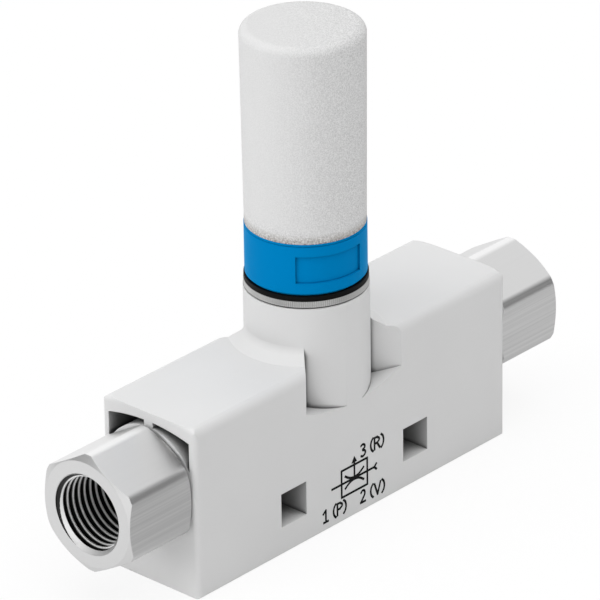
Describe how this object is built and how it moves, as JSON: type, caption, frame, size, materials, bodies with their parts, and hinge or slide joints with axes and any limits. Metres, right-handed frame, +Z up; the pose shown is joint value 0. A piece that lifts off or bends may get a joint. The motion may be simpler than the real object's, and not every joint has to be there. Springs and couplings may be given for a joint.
{
  "type": "vacuum ejector",
  "caption": "Inline T-shaped vacuum ejector: moulded body with a threaded metal port at each end, square mounting windows and an upright porous silencer.",
  "frame": {"origin": "on the underside of the housing, straight below the boss and silencer axis, midway between the two port faces", "axes": "+X from the supply port to the vacuum port, +Z up along the boss and silencer axis, -Y the side with the port marks"},
  "size_m": [0.0728, 0.0142, 0.0592],
  "materials": {
    "housing_plastic": "light grey moulded plastic, fine satin",
    "fitting_metal": "bright drawn hexagon bar, turned face and chamfers",
    "insert_metal": "bright turned, finely knurled rim",
    "nozzle_brass": "fine turned",
    "nozzle_metal": "fine turned",
    "seal_rubber": "black nitrile rubber, satin",
    "base_plastic": "blue moulded plastic, satin",
    "sleeve_plastic": "white sintered porous plastic, grainy"
  },
  "bodies": {
    "root": {"housing": "housing_plastic", "supply_fitting": "fitting_metal", "supply_fitting_seal": "seal_rubber", "vacuum_fitting": "fitting_metal", "vacuum_fitting_seal": "seal_rubber", "jet_nozzle": "nozzle_brass", "jet_nozzle_seal": "seal_rubber", "receiver_nozzle": "nozzle_metal", "receiver_nozzle_seal": "seal_rubber", "exhaust_insert": "insert_metal", "silencer_gasket": "seal_rubber", "silencer_base": "base_plastic", "silencer_sleeve": "sleeve_plastic"}
  },
  "joints": []
}
